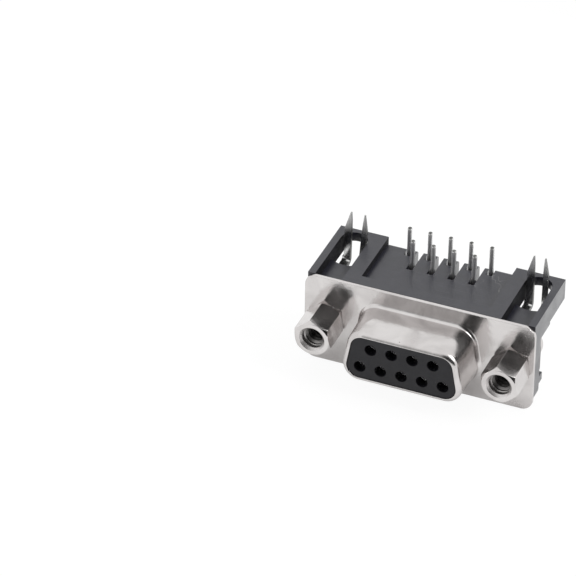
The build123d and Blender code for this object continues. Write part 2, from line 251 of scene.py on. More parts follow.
def moulded_plastic(name, colour, pale, gloss, grain_depth, **constants):
    """Satin black plastic. gloss is the lowest and highest roughness."""
    material, tree, shader = new_finish(name, **constants)
    where = place_on_piece(tree)
    flow = grain(tree, where, FLOW_SIZE, detail=3, distortion=0.6)
    mottle = grain(tree, where, MOTTLE_SIZE, detail=4)
    fine = grain(tree, where, MOULD_GRAIN_SIZE, detail=2)
    rubbed = grain(tree, place_on_piece(tree, stretch=RUB_STRETCH), RUB_WIDTH, detail=2)
    base = blend_colours(tree, spread(tree, mottle, *MOTTLE_RANGE, 0, 1), colour, pale)
    base = blend_colours(tree, small_spots(tree, DUST_SPACING, DUST_RADIUS), base, DUST_COLOUR)
    base = blend_colours(tree, scratch(tree), base, SCRATCH_COLOUR)
    tree.links.new(base, shader.inputs["Base Color"])
    tree.links.new(spread(tree, flow, *FLOW_RANGE, *gloss), shader.inputs["Roughness"])
    marks = relief(tree, spread(tree, rubbed, *RUB_RANGE, 0, 1), RUB_DEPTH)
    tree.links.new(relief(tree, fine, grain_depth, below=marks), shader.inputs["Normal"])
    return material


print("scratches lie within", SCRATCH_REACH / MM, "mm of their centre")

# %% [markdown]
# ## Three kinds of black
# The front insulator is another plastic than the housing: less glossy, and without the second reflection.
# The mould's pockets are spark eroded rather than ground, which leaves the walls of the troughs and the
# lead-in funnels of the contact holes coarse and dull. A third finish, rougher, is for those, and its
# darker colour is painted shade for these deep, narrow places.

# %% Plastic finishes
housing_plastic = moulded_plastic(
    "housing_plastic",
    colour=(0.0085, 0.0088, 0.0165),
    pale=(0.0125, 0.0128, 0.0215),
    gloss=(0.28, 0.44),
    grain_depth=0.014 * MM,
    IOR=1.4,
    Coat_Weight=1.0,
    Coat_IOR=1.4,
    Coat_Roughness=0.28,
)
insulator_plastic = moulded_plastic(
    "insulator_plastic",
    colour=(0.006, 0.0058, 0.009),
    pale=(0.009, 0.0088, 0.012),
    gloss=(0.34, 0.46),
    grain_depth=0.007 * MM,
    IOR=1.43,
)
# Rougher like an eroded surface, and darker: the darker colour is painted shade for funnels and trough
# walls.
eroded_shade_plastic = moulded_plastic(
    "eroded_shade_plastic",
    colour=(0.0030, 0.0030, 0.0045),
    pale=(0.0055, 0.0055, 0.0075),
    gloss=(0.60, 0.75),
    grain_depth=0.014 * MM,
    IOR=1.35,
)
print("plastic finishes:", housing_plastic.name, insulator_plastic.name, eroded_shade_plastic.name)

# %% [markdown]
# ## Where the plate changes on a screw
# Two places on a jack screw don't shine like the rest. The countersink at the mouth of its bore was cut by
# a coarser tool. Further down the bore the colour is darkened: painted shade, over plate that is thinner
# there. Separate pieces could carry separate finishes, but a soft change is truer. So the finish works out
# how far a place is from the screw's axis and how deep it lies, and changes there.

# %% Places on a screw
SCREW_HALF_SPACING = 24.99 / 2 * MM
BORE_MOUTH = -4.76 * MM
BORE_EDGE = (1.50 * MM, 1.43 * MM)
COUNTERSINK_EDGE = (1.75 * MM, 1.69 * MM)
SUNK = (BORE_MOUTH + 0.01 * MM, BORE_MOUTH + 0.05 * MM)
# Depths over which painted shade darkens the bore.
BORE_SHADE_DEPTHS = (BORE_MOUTH + 0.4 * MM, BORE_MOUTH + 2.2 * MM)
STANDOFF = (-0.5 * MM, -0.6 * MM)


def near_bore(tree, edge, depths):
    """1 within an edge round the nearer screw's axis and past the depths, on the standoff, else 0."""
    parts = add(tree, "ShaderNodeSeparateXYZ", Vector=place_on_piece(tree)).outputs
    across = calculate(tree, "SUBTRACT", calculate(tree, "ABSOLUTE", parts["X"]), SCREW_HALF_SPACING)
    height = calculate(tree, "MULTIPLY", parts["Z"], parts["Z"])
    radius = calculate(tree, "SQRT", calculate(tree, "MULTIPLY_ADD", across, across, height))
    inside = spread(tree, radius, *edge, 0, 1)
    past = spread(tree, parts["Y"], *depths, 0, 1)
    in_front = spread(tree, parts["Y"], *STANDOFF, 0, 1)
    return calculate(tree, "MULTIPLY", calculate(tree, "MULTIPLY", inside, past), in_front)


print("the bores start", -BORE_MOUTH / MM, "mm in front of the flange")

# %% [markdown]
# ## Bright plate
# The shell and the screws are nickel plated, the contacts and board locks tin plated. A perfect mirror
# would look like glass, so the plate has what real plate has: a slow orange-peel ripple, duller patches
# where it was handled, a few dark pinholes, and streaks that follow the way the piece was made. On the
# drawn shell the streaks run along the drawing direction, on the turned screws along the bar they were cut
# from, and on tails and locks along the strip, so the same finish takes the stretch as an input. The forks
# get duller where they were coined, and where a strip was cut the bare metal is darker than the plate.

# %% Plated metal
HANDLED_SIZE = 4.2 * MM
DULL_COLOUR_RANGE = (0.36, 0.72)
DULL_GLOSS_RANGE = (0.35, 0.7)
PEEL_SIZE = 1.1 * MM
STREAK_WIDTH = 0.2 * MM
STREAK_DEPTH = 0.0020 * MM
STREAK_ROUGHER = 0.06
PINHOLE_SPACING = 2.1 * MM
PINHOLE_RADIUS = 0.09 * MM
PINHOLE_COLOUR = (0.10, 0.09, 0.08)
# Painted shade deep in the bore, over the thinner plate there.
BORE_SHADE_COLOUR = (0.08, 0.077, 0.074)
COUNTERSINK_ROUGHER = 0.26
COINED_HEIGHTS = (6.9 * MM, 8.9 * MM)
COINED_ROUGHER = 0.34


def plated_metal(name, colour, dull, gloss, ripple, streak, pinholes=False, bored=False, coined=False):
    """Bright plate. gloss is the lowest and highest roughness, ripple is a depth in metres."""
    material, tree, shader = new_finish(name, Metallic=1.0)
    where = place_on_piece(tree)
    handled = grain(tree, where, HANDLED_SIZE, detail=4, distortion=0.8)
    peel = grain(tree, where, PEEL_SIZE, detail=2)
    drawn = grain(tree, place_on_piece(tree, stretch=streak), STREAK_WIDTH, detail=3)
    base = blend_colours(tree, spread(tree, handled, *DULL_COLOUR_RANGE, 0, 1), colour, dull)
    rough = spread(tree, handled, *DULL_GLOSS_RANGE, *gloss)
    if pinholes:
        base = blend_colours(tree, small_spots(tree, PINHOLE_SPACING, PINHOLE_RADIUS), base, PINHOLE_COLOUR)
    if bored:
        # Painted shade: darker deeper in the bore.
        base = blend_colours(tree, near_bore(tree, BORE_EDGE, BORE_SHADE_DEPTHS), base, BORE_SHADE_COLOUR)
        mouth = near_bore(tree, COUNTERSINK_EDGE, SUNK)
        rough = calculate(tree, "MULTIPLY_ADD", mouth, COUNTERSINK_ROUGHER, rough)
    if coined:
        height = add(tree, "ShaderNodeSeparateXYZ", Vector=where).outputs["Z"]
        rough = calculate(tree, "ADD", rough, spread(tree, height, *COINED_HEIGHTS, 0, COINED_ROUGHER))
    rough = calculate(tree, "MULTIPLY_ADD", drawn, STREAK_ROUGHER, rough)
    tree.links.new(base, shader.inputs["Base Color"])
    tree.links.new(rough, shader.inputs["Roughness"])
    rippled = relief(tree, peel, ripple)
    tree.links.new(relief(tree, drawn, STREAK_DEPTH, below=rippled), shader.inputs["Normal"])
    return material


print("streaks are", STREAK_WIDTH / MM, "mm wide")

# %% Metal finishes
NICKEL = (0.705, 0.682, 0.674)
DULL_NICKEL = (0.60, 0.576, 0.568)

shell_plate = plated_metal(
    "shell_plate",
    NICKEL,
    DULL_NICKEL,
    gloss=(0.11, 0.24),
    ripple=0.018 * MM,
    streak=(1, 0.15, 1),
    pinholes=True,
)
screw_plate = plated_metal(
    "screw_plate",
    NICKEL,
    DULL_NICKEL,
    gloss=(0.09, 0.20),
    ripple=0.014 * MM,
    streak=(1, 0.1, 1),
    bored=True,
)
contact_plate = plated_metal(
    "contact_plate",
    (0.90, 0.90, 0.895),
    (0.78, 0.78, 0.77),
    gloss=(0.40, 0.55),
    ripple=0.003 * MM,
    streak=(1, 1, 0.08),
)
lock_plate = plated_metal(
    "lock_plate",
    (0.82, 0.82, 0.815),
    (0.58, 0.58, 0.57),
    gloss=(0.12, 0.24),
    ripple=0.014 * MM,
    streak=(1, 1, 0.08),
    coined=True,
)
cut_edge = plated_metal(
    "cut_edge",
    (0.20, 0.20, 0.195),
    (0.10, 0.10, 0.095),
    gloss=(0.36, 0.52),
    ripple=0.004 * MM,
    streak=(1, 0.1, 1),
)
print("metal finishes:", [m.name for m in (shell_plate, screw_plate, contact_plate, lock_plate, cut_edge)])

# %% [markdown]
# ## Breaking the edges
# No moulded or pressed edge is perfectly sharp, and the thin bright line along an edge is what tells the
# eye how big a thing is. The drawing leaves the smallest rounds out. A copy of each piece gets them here:
# its triangles are merged into whole faces and a Bevel modifier rounds the edges. One width for all would
# not do: the flare where the shell leaves its flange is five times as wide as the plain edges of its
# sheet. So each edge carries its own weight, and the modifier takes its width from that.

# %% Whole faces and edge weights
SAME_CORNER = 1e-6
SAME_FACE = radians(0.5)
SHARP_EDGE = radians(28)


def whole_faces(node):
    """The node's shape in a bmesh, with shared corners and whole faces."""
    work = bmesh.new()
    work.from_mesh(nodes[node].data)
    bmesh.ops.remove_doubles(work, verts=work.verts, dist=SAME_CORNER)
    bmesh.ops.dissolve_limit(work, angle_limit=SAME_FACE, verts=work.verts, edges=work.edges)
    return work


def weigh_edges(work, usual, special):
    """Give every sharp edge its round and return the widest.

    special is a list of (test, width). A test is given the middle of an edge, in millimetres.
    """
    widest = max([usual] + [width for _, width in special])
    layer = work.edges.layers.float.new("bevel_weight_edge")
    for edge in work.edges:
        if len(edge.link_faces) != 2 or edge.calc_face_angle(0) < SHARP_EDGE:
            continue
        middle = (edge.verts[0].co + edge.verts[1].co) / 2 / MM
        edge[layer] = next((width for test, width in special if test(middle)), usual) / widest
    return widest


print("edge helpers ready")

# %% [markdown]
# ## From modifiers to a plain mesh
# A modifier is only a recipe. To join pieces and to give single faces another finish, its result has to be
# a mesh of its own, so each piece is frozen: evaluated once, and the recipe removed. The flat faces then
# get weighted normals, which keep them flat although the piece is shaded smooth.

# %% Freezing and shading
SHARP_SHADING = radians(35)
FLATS_WEIGHT = 100


def freeze(piece):
    """Turn a piece with its modifiers into a plain mesh."""
    depsgraph = bpy.context.evaluated_depsgraph_get()
    mesh = bpy.data.meshes.new_from_object(piece.evaluated_get(depsgraph))
    piece.modifiers.clear()
    old = piece.data
    piece.data = mesh
    bpy.data.meshes.remove(old)


def shade(mesh):
    """Shade smooth, but keep sharp edges sharp."""
    mesh.shade_smooth()
    mesh.set_sharp_from_angle(angle=SHARP_SHADING)


def keep_flats(piece):
    """Keep flat faces flat on a piece that is shaded smooth."""
    weighted = piece.modifiers.new("flats", "WEIGHTED_NORMAL")
    weighted.keep_sharp = True
    weighted.weight = FLATS_WEIGHT
    freeze(piece)


print("shading helpers ready")

# %% Standing in for a node
SLOT_FINISH = {
    "shell_plate": shell_plate,
    "screw_plate": screw_plate,
    "contact_plate": contact_plate,
    "lock_plate": lock_plate,
    "insulator_plastic": insulator_plastic,
    "housing_plastic": housing_plastic,
}
slot_of = {piece["node"]: piece["material_slot"] for piece in frame["record"]["subparts"]}


def stand_in(node, work, width, segments):
    """Round a bmesh's weighted edges and let the result stand for its node."""
    mesh = bpy.data.meshes.new(node + "_dressed")
    work.to_mesh(mesh)
    work.free()
    piece = bpy.data.objects.new(node + "_dressed", mesh)
    bpy.context.scene.collection.objects.link(piece)
    bevel = piece.modifiers.new("edges", "BEVEL")
    bevel.limit_method = "WEIGHT"
    bevel.width = width
    bevel.segments = segments
    freeze(piece)
    shade(piece.data)
    keep_flats(piece)
    piece.data.materials.clear()
    piece.data.materials.append(SLOT_FINISH[slot_of[node]])
    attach(piece, "root")
    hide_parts(node)
    return piece


def dress(node, usual, special=(), reshape=None, segments=3):
    """Stand a copy with rounded edges in for a node. reshape may change the copy first."""
    work = whole_faces(node)
    if reshape is not None:
        reshape(work)
    width = weigh_edges(work, usual, special)
    piece = stand_in(node, work, width, segments)
    print(piece.name, "has", len(piece.data.polygons), "faces after rounding")
    return piece


def refinish(piece, finish, chosen):
    """Give the faces that a test picks out a second finish."""
    piece.data.materials.append(finish)
    for face in piece.data.polygons:
        if chosen(face):
            face.material_index = 1


print("finishes by slot:", len(SLOT_FINISH))

# %% [markdown]
# ## Front shell
# The shell is one sheet: a D drawn out of a flat flange. Three of its edges are rounder than the cut ones:
# the flare at the root of the D, the pressed edge of the flange, and the lip of the rim. Each has a test
# that says, from the middle of an edge in millimetres, whether the edge belongs to it.

# %% Shell
SHEET_EDGE = 0.04 * MM
FLARE_ROUND = 0.2 * MM
FLANGE_ROUND = 0.10 * MM
LIP_ROUND = 0.1 * MM
FLANGE_HALF_WIDTH = 15.3
FLANGE_HALF_HEIGHT = 6.2
FLANGE_CORNER = 1.5
ROOT_HALF_WIDTH = 9.7
ROOT_HALF_HEIGHT = 4.5
ROOT_DEPTHS = (-0.35, 0.01)
LIP_REAR = -5.9


def at_root(middle):
    """On the chamfer where the D meets the flange."""
    inside = abs(middle.x) < ROOT_HALF_WIDTH and abs(middle.z) < ROOT_HALF_HEIGHT
    return inside and ROOT_DEPTHS[0] < middle.y < ROOT_DEPTHS[1]


def on_flange_edge(middle):
    """On the outline of the flange, or on one of its round corners."""
    sideways = abs(middle.x) - FLANGE_HALF_WIDTH
    upwards = abs(middle.z) - FLANGE_HALF_HEIGHT
    return sideways > 0 or upwards > 0 or min(sideways, upwards) > -FLANGE_CORNER


def at_lip(middle):
    """On the inner edge of the rolled rim."""
    return middle.y < LIP_REAR


shell_rounds = [(at_root, FLARE_ROUND), (on_flange_edge, FLANGE_ROUND), (at_lip, LIP_ROUND)]
dress("front_shell", SHEET_EDGE, shell_rounds)

# %% [markdown]
# ## Contact block
# The front insulator has nine holes, each with a funnel that leads a pin into its socket. In the funnels
# the plastic is dull, and darker as painted shade, which makes the holes look deep. A funnel's faces are
# found by their lean and by their distance from the axis of a contact, which is measured on the frame.

# %% Block
COLLAR_REAR = 1.6 * MM
BLOCK_EDGE = 0.04 * MM
BLOCK_FACE_ROUND = 0.1 * MM
BLOCK_FACE_REAR = -5.8
FUNNEL_REACH = 1.0 * MM
FUNNEL_LEANS = (-0.97, -0.15)


def socket_axis(node):
    """X and Z of a contact's socket, measured on the part in front of its collar."""
    head = [vertex.co for vertex in nodes[node].data.vertices if vertex.co.y < COLLAR_REAR]
    across = [co.x for co in head]
    height = [co.z for co in head]
    return (min(across) + max(across)) / 2, (min(height) + max(height)) / 2


def near_axis(place, axis, reach):
    """Whether a place lies within a reach of an axis along Y."""
    return (place.x - axis[0]) ** 2 + (place.z - axis[1]) ** 2 < reach**2


def in_funnel(face):
    """Whether a face leans inwards round a contact's axis."""
    leans = FUNNEL_LEANS[0] < face.normal.y < FUNNEL_LEANS[1]
    return leans and any(near_axis(face.center, axis, FUNNEL_REACH) for axis in socket_axes)


def on_block_face(middle):
    """On the outline of the mating face."""
    return middle.y < BLOCK_FACE_REAR


socket_axes = [socket_axis(f"contact_{number}") for number in range(1, 10)]
block = dress("contact_block", BLOCK_EDGE, [(on_block_face, BLOCK_FACE_ROUND)])
# Painted shade: the funnels get the darker eroded finish.
refinish(block, eroded_shade_plastic, in_funnel)

# %% [markdown]
# ## Rear housing
# The housing carries everything. Its construction is complete, so it only needs soft edges, and the dull
# eroded finish on the side walls of the two troughs that the board locks stand in, whose darker colour is
# painted shade. Those walls face each other across a narrow gap, and a glossy finish there would mirror a
# brightness that the real ones lack.

# %% Housing
HOUSING_EDGE = 0.08 * MM
FACING_SIDEWAYS = 0.9
TROUGH_FROM = 8.5
TROUGH_TO = 14.4
TROUGH_FLOOR = 3 * MM


def in_trough(face):
    """Whether a face is a side wall of a trough."""
    distance = abs(face.center.x) / MM
    upright = abs(face.normal.x) > FACING_SIDEWAYS
    return upright and TROUGH_FROM < distance < TROUGH_TO and face.center.z > TROUGH_FLOOR


housing = dress("rear_housing", HOUSING_EDGE)
# Painted shade: the trough walls get the darker eroded finish.
refinish(housing, eroded_shade_plastic, in_trough)

# %% [markdown]
# ## Rear cover
# The cover is a plain plug, but it was moulded, and where the melt came in there is a small round dimple:
# the gate mark. Bump would show it too, but only shaded, without an edge. So a thin cylinder is taken away
# with a Boolean modifier before the edges are rounded, and the dimple's own edge gets a finer round.

# %% Cover with its gate mark
COVER_EDGE = 0.07 * MM
GATE_X = 5.4 * MM
GATE_RADIUS = 0.45 * MM
GATE_DEPTH = 0.12 * MM
GATE_SIDES = 28
GATE_ROUND = 0.03 * MM
GATE_REACH = 1.2 * GATE_RADIUS


def gate_punch():
    """A thin cylinder along Y, centred on the cover's rear face."""
    work = bmesh.new()
    size = {"radius1": GATE_RADIUS, "radius2": GATE_RADIUS, "depth": 2 * GATE_DEPTH}
    bmesh.ops.create_cone(work, cap_ends=True, segments=GATE_SIDES, **size)
    turn = Matrix.Rotation(pi / 2, 3, "X")
    bmesh.ops.rotate(work, verts=work.verts, cent=(0, 0, 0), matrix=turn)
    cover_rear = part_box("rear_cover")[1][1]
    bmesh.ops.translate(work, verts=work.verts, vec=(GATE_X, cover_rear, 0))
    mesh = bpy.data.meshes.new("punch")
    work.to_mesh(mesh)
    work.free()
    return bpy.data.objects.new("punch", mesh)


def sink_gate(work):
    """Cut the small round dimple that the moulding gate leaves in the cover's rear face."""
    mesh = bpy.data.meshes.new("gated")
    work.to_mesh(mesh)
    gated = bpy.data.objects.new("gated", mesh)
    punch = gate_punch()
    for thing in (gated, punch):
        bpy.context.scene.collection.objects.link(thing)
    cut = gated.modifiers.new("gate", "BOOLEAN")
    cut.operation = "DIFFERENCE"
    cut.object = punch
    freeze(gated)
    work.clear()
    work.from_mesh(gated.data)
    for thing in (gated, punch):
        bpy.data.objects.remove(thing)


def on_gate(middle):
    """On the edge of the gate's dimple."""
    return near_axis(middle * MM, (GATE_X, 0), GATE_REACH)


dress("rear_cover", COVER_EDGE, [(on_gate, GATE_ROUND)], reshape=sink_gate)

# %% [markdown]
# ## Nuts and board locks
# The clinch nuts are turned, and the rim of their rear end is cut well round, so that one edge gets a
# much wider bevel. The fork of each board lock is cut from strip and its points are coined:
# pressed thinner towards the tip, so that they find their holes. The drawing has the prongs at full
# thickness. Cutting the copy at the height where the taper starts gives the coining a row of corners to
# begin from. The sides of the strip, where it was cut, get the look of bare metal.

# %% Coined points
FORK_TIP = 10.4 * MM
FORK_TAPER = 2.55 * MM
COINED_FROM = FORK_TIP - FORK_TAPER
COINED_THICKNESS = 0.4
STRIP_MIDDLE = 9.45 * MM


def coin_points(work):
    """Press the prongs thinner from where they taper up to their tips."""
    everything = work.verts[:] + work.edges[:] + work.faces[:]
    bmesh.ops.bisect_plane(work, geom=everything, plane_co=(0, 0, COINED_FROM), plane_no=(0, 0, 1))
    for vertex in work.verts:
        if vertex.co.z > COINED_FROM:
            share = (vertex.co.z - COINED_FROM) / (FORK_TIP - COINED_FROM)
            scale = 1 - (1 - COINED_THICKNESS) * share
            vertex.co.y = STRIP_MIDDLE + (vertex.co.y - STRIP_MIDDLE) * scale


print("prongs are coined from", round(COINED_FROM / MM, 2), "mm up")

# %% Nuts and locks
NUT_EDGE = 0.08 * MM
NUT_RIM_ROUND = 0.45 * MM
NUT_RIM_FROM = 2.0
NUT_RIM_DEPTH = 0.05
LOCK_EDGE = 0.05 * MM
CUT_SIDE = 0.85


def on_rear_rim(middle, nut_rear):
    """On the outer rim of a nut's rear end."""
    from_axis = ((abs(middle.x) - SCREW_HALF_SPACING / MM) ** 2 + middle.z**2) ** 0.5
    return middle.y > nut_rear - NUT_RIM_DEPTH and from_axis > NUT_RIM_FROM


for side in ("left", "right"):
    nut_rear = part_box("clinch_nut_" + side)[1][1] / MM
    rim = (lambda middle: on_rear_rim(middle, nut_rear), NUT_RIM_ROUND)
    dress("clinch_nut_" + side, NUT_EDGE, [rim])
    lock = dress("board_lock_" + side, LOCK_EDGE, reshape=coin_points, segments=2)
    refinish(lock, cut_edge, lambda face: abs(face.normal.x) > CUT_SIDE)

# %% [markdown]
# ## Screw threads
# A cable's thumb screws go into the two standoffs, so each has a fine thread cut into its bore, and the
# stud behind the nut has one outside. A thread is a profile that follows a helix, which is a rule, so
# Geometry Nodes make it: a spiral gives the path, a trapezium gives the ridge, and Curve to Mesh sweeps one
# along the other. A painted stripe would be quicker, but the light that a real ridge catches is what shows
# that the hole is tapped. One tree makes both threads: its input Ridge side says whether the ridge points
# outwards (1) or inwards (-1).

# %% Opening and closing a tree


def new_node_tree(name, sizes):
    """An empty tree for a curve-made piece, with a named input for each size and one for the finish."""
    tree = bpy.data.node_groups.new(name, "GeometryNodeTree")
    tree.interface.new_socket("Geometry", in_out="INPUT", socket_type="NodeSocketGeometry")
    for size, value in sizes.items():
        socket = tree.interface.new_socket(size, in_out="INPUT", socket_type="NodeSocketFloat")
        socket.default_value = value
    tree.interface.new_socket("Finish", in_out="INPUT", socket_type="NodeSocketMaterial")
    tree.interface.new_socket("Geometry", in_out="OUTPUT", socket_type="NodeSocketGeometry")
    return tree, tree.nodes.new("NodeGroupInput").outputs


def close_tree(tree, given, geometry):
    """End a tree: real geometry with its finish on it."""
    real = add(tree, "GeometryNodeRealizeInstances", Geometry=geometry)
    finished = add(tree, "GeometryNodeSetMaterial", Geometry=real.outputs[0], Material=given["Finish"])
    tree.links.new(finished.outputs[0], tree.nodes.new("NodeGroupOutput").inputs["Geometry"])
    return tree


print("tree helpers ready")

# %% From a tree to a mesh


def run_tree(tree, finish, sizes):
    """The mesh that a tree makes. Inputs are set by their identifiers before the first evaluation."""
    carrier = bpy.data.objects.new("carrier", bpy.data.meshes.new("carrier"))
    bpy.context.scene.collection.objects.link(carrier)
    modifier = carrier.modifiers.new("tree", "NODES")
    modifier.node_group = tree
    wanted = sizes | {"Finish": finish}
    for item in tree.interface.items_tree:
        if item.in_out == "INPUT" and item.name in wanted:
            modifier[item.identifier] = wanted[item.name]
    freeze(carrier)
    mesh = carrier.data
    bpy.data.objects.remove(carrier)
    return mesh


def join_to(piece, additions):
    """Join meshes to a piece, each moved to its place, and shade the result."""
    joined = bmesh.new()
    joined.from_mesh(piece.data)
    for mesh, place in additions:
        for vertex in mesh.vertices:
            vertex.co += Vector(place)
        joined.from_mesh(mesh)
        bpy.data.meshes.remove(mesh)
    joined.to_mesh(piece.data)
    joined.free()
    shade(piece.data)


print("mesh helpers ready")

# %% The profile of a thread
BORE_THREAD = {
    "Wall radius": 1.42 * MM,
    "Pitch": 0.635 * MM,
    "Length": 2.9 * MM,
    "Ridge height": 0.29 * MM,
    "Foot width": 0.55 * MM,
    "Crest width": 0.09 * MM,
    "Ridge side": -1.0,
}


def ridge_profile(tree, given):
    """A trapezium that stands on the wall, with its foot on the path of the sweep."""
    ridge = add(
        tree,
        "GeometryNodeCurvePrimitiveQuadrilateral",
        {"mode": "TRAPEZOID"},
        Bottom_Width=given["Foot width"],
        Top_Width=given["Crest width"],
        Height=given["Ridge height"],
        Offset=0.0,
    )
    turn = calculate(tree, "MULTIPLY", given["Ridge side"], -pi / 2)
    half = calculate(tree, "MULTIPLY", given["Ridge height"], 0.5)
    stands = calculate(tree, "MULTIPLY", half, given["Ridge side"])
    seated = add(tree, "GeometryNodeTransform", Geometry=ridge.outputs[0])
    turned = add(tree, "ShaderNodeCombineXYZ", Z=turn)
    tree.links.new(turned.outputs[0], seated.inputs["Rotation"])
    moved = add(tree, "ShaderNodeCombineXYZ", X=stands)
    tree.links.new(moved.outputs[0], seated.inputs["Translation"])
    return seated.outputs[0]


print("the ridge in the bore is", round(BORE_THREAD["Ridge height"] / MM, 2), "mm high")

# %% The thread as a node tree
STEPS_PER_TURN = 40
RUN_IN = 1.2
RUN_IN_START = 0.02


def thread_tree():
    """A right-handed helical ridge round +Y, from the origin backwards, that starts low and grows."""
    tree, given = new_node_tree("helical_thread", BORE_THREAD)
    turns = calculate(tree, "DIVIDE", given["Length"], given["Pitch"])
    path = add(
        tree,
        "GeometryNodeCurveSpiral",
        Resolution=STEPS_PER_TURN,
        Rotations=turns,
        Start_Radius=given["Wall radius"],
        End_Radius=given["Wall radius"],
        Height=given["Length"],
        Reverse=True,
    )
    outwards = add(tree, "GeometryNodeSetCurveNormal", {"mode": "Z_UP"}, Curve=path.outputs[0])
    share = add(tree, "GeometryNodeSplineParameter").outputs["Factor"]
    covered = calculate(tree, "MULTIPLY", share, turns)
    grown = calculate(tree, "MULTIPLY_ADD", covered, RUN_IN, RUN_IN_START)
    swept = add(
        tree,
        "GeometryNodeCurveToMesh",
        Curve=outwards.outputs[0],
        Profile_Curve=ridge_profile(tree, given),
        Scale=calculate(tree, "MINIMUM", grown, 1.0),
        Fill_Caps=True,
    )
    laid = add(tree, "GeometryNodeTransform", Geometry=swept.outputs[0], Rotation=(-pi / 2, 0, 0))
    return close_tree(tree, given, laid.outputs[0])


helical_thread = thread_tree()
print("thread tree has", len(helical_thread.nodes), "nodes")

# %% [markdown]
# ## Jackscrews
# Each screw is a hex standoff in front and a stud to the rear. The bore of the drawing is as wide as the
# thread's outer diameter, so the ridge stands inwards from its wall. The stud needs the opposite: its drawn
# surface is the crest of the thread, so the copy is drawn in to the root diameter at its end and the ridge
# brings it back.

# %% Jackscrews with their threads
SCREW_EDGE = 0.06 * MM
BORE_THREAD_START = BORE_MOUTH + 0.80 * MM
STUD_THREAD_START = 5.0 * MM
STUD_THREAD = {
    "Wall radius": 1.2 * MM,
    "Length": 1.3 * MM,
    "Ridge height": 0.2 * MM,
    "Foot width": 0.5 * MM,
    "Ridge side": 1.0,
}
STUD_END = 6.5 * MM
STUD_END_DEPTH = 0.1 * MM
STUD_ROOT = 1.16
STUD_CREST = 1.40


def narrow_stud(work, x):
    """Draw the end of the stud in to the root of its thread."""
    for vertex in work.verts:
        if vertex.co.y > STUD_END - STUD_END_DEPTH:
            vertex.co.x = x + (vertex.co.x - x) * STUD_ROOT / STUD_CREST
            vertex.co.z *= STUD_ROOT / STUD_CREST


for side, x in (("left", -SCREW_HALF_SPACING), ("right", SCREW_HALF_SPACING)):
    screw = dress("jackscrew_" + side, SCREW_EDGE, reshape=lambda work: narrow_stud(work, x))
    in_bore = (run_tree(helical_thread, screw_plate, {}), (x, BORE_THREAD_START, 0))
    on_stud = (run_tree(helical_thread, screw_plate, STUD_THREAD), (x, STUD_THREAD_START, 0))
    join_to(screw, [in_bore, on_stud])
    print(screw.name, "has", len(screw.data.polygons), "faces with its threads")

# %% [markdown]
# ## Contact tails
# A contact's tail is a round wire: it runs back inside the hood, turns up behind the comb and ends in a
# rounded point for its hole in the board. For construction an eight-sided wire with a mitred bend was
# enough, but up close the tails are what one sees most. Nine tails of two lengths follow one rule, so a
# second tree makes them: three points, a fillet at the middle one, a round section, and a scale that draws
# the last part in. The socket end keeps the drawing's shape with its slit and its bore. The very tip, where
# the wire was cut off after plating, shows bare metal.

# %% The route of a tail
TAIL_SIZES = {
    "Run": 6.8 * MM,
    "Rise": 9.0 * MM,
    "Bend radius": 0.9 * MM,
    "Wire radius": 0.31 * MM,
    "Point length": 0.30 * MM,
    "Point share": 0.45,
    "Step": 0.05 * MM,
}
BEND_STEPS = 10


def tail_route(tree, given):
    """The wire's middle line: from the origin along +Y, round a bend and up along +Z."""
    order = add(tree, "GeometryNodeInputIndex").outputs[0]
    back = calculate(tree, "MULTIPLY", calculate(tree, "MINIMUM", order, 1.0), given["Run"])
    past_bend = calculate(tree, "MAXIMUM", calculate(tree, "SUBTRACT", order, 1.0), 0.0)
    up = calculate(tree, "MULTIPLY", past_bend, given["Rise"])
    place = add(tree, "ShaderNodeCombineXYZ", Y=back, Z=up).outputs[0]
    corners = add(tree, "GeometryNodePoints", Count=3, Position=place)
    route = add(tree, "GeometryNodePointsToCurves", Points=corners.outputs[0]).outputs[0]
    bend = {"Count": BEND_STEPS, "Radius": given["Bend radius"]}
    bent = add(tree, "GeometryNodeFilletCurve", {"mode": "POLY"}, Curve=route, **bend).outputs[0]
    fine = add(tree, "GeometryNodeResampleCurve", {"mode": "LENGTH"}, Curve=bent, Length=given["Step"])
    return fine.outputs[0]


print("a tail bends round", round(TAIL_SIZES["Bend radius"] / MM, 2), "mm")

# %% The tail as a node tree
WIRE_SIDES = 16


def tail_taper(tree, given):
    """The wire's thickness along its route: 1, and over the last part a round nose."""
    covered = add(tree, "GeometryNodeSplineParameter").outputs["Length"]
    whole = add(tree, "GeometryNodeSplineLength").outputs["Length"]
    left_over = calculate(tree, "SUBTRACT", whole, covered)
    near_tip = calculate(tree, "MINIMUM", calculate(tree, "DIVIDE", left_over, given["Point length"]), 1.0)
    fallen = calculate(tree, "POWER", calculate(tree, "SUBTRACT", 1.0, near_tip), 2.0)
    nose = calculate(tree, "SQRT", calculate(tree, "SUBTRACT", 1.0, fallen))
    limits = {"From_Min": 0.0, "From_Max": 1.0, "To_Min": given["Point share"], "To_Max": 1.0}
    return add(tree, "ShaderNodeMapRange", Value=nose, **limits).outputs["Result"]


def tail_tree():
    """A round wire from the origin along +Y, up along +Z and to a rounded point."""
    tree, given = new_node_tree("contact_tail", TAIL_SIZES)
    section = {"Resolution": WIRE_SIDES, "Radius": given["Wire radius"]}
    wire = add(tree, "GeometryNodeCurvePrimitiveCircle", **section)
    swept = add(
        tree,
        "GeometryNodeCurveToMesh",
        Curve=tail_route(tree, given),
        Profile_Curve=wire.outputs[0],
        Scale=tail_taper(tree, given),
        Fill_Caps=True,
    )
    return close_tree(tree, given, swept.outputs[0])


contact_tail = tail_tree()
print("tail tree has", len(contact_tail.nodes), "nodes")

# %% Contacts
CONTACT_EDGE = 0.04 * MM
TAIL_START = 1.5 * MM
TAIL_CUT_OFF = COLLAR_REAR + 0.01 * MM
CUT_TIP = 0.10 * MM


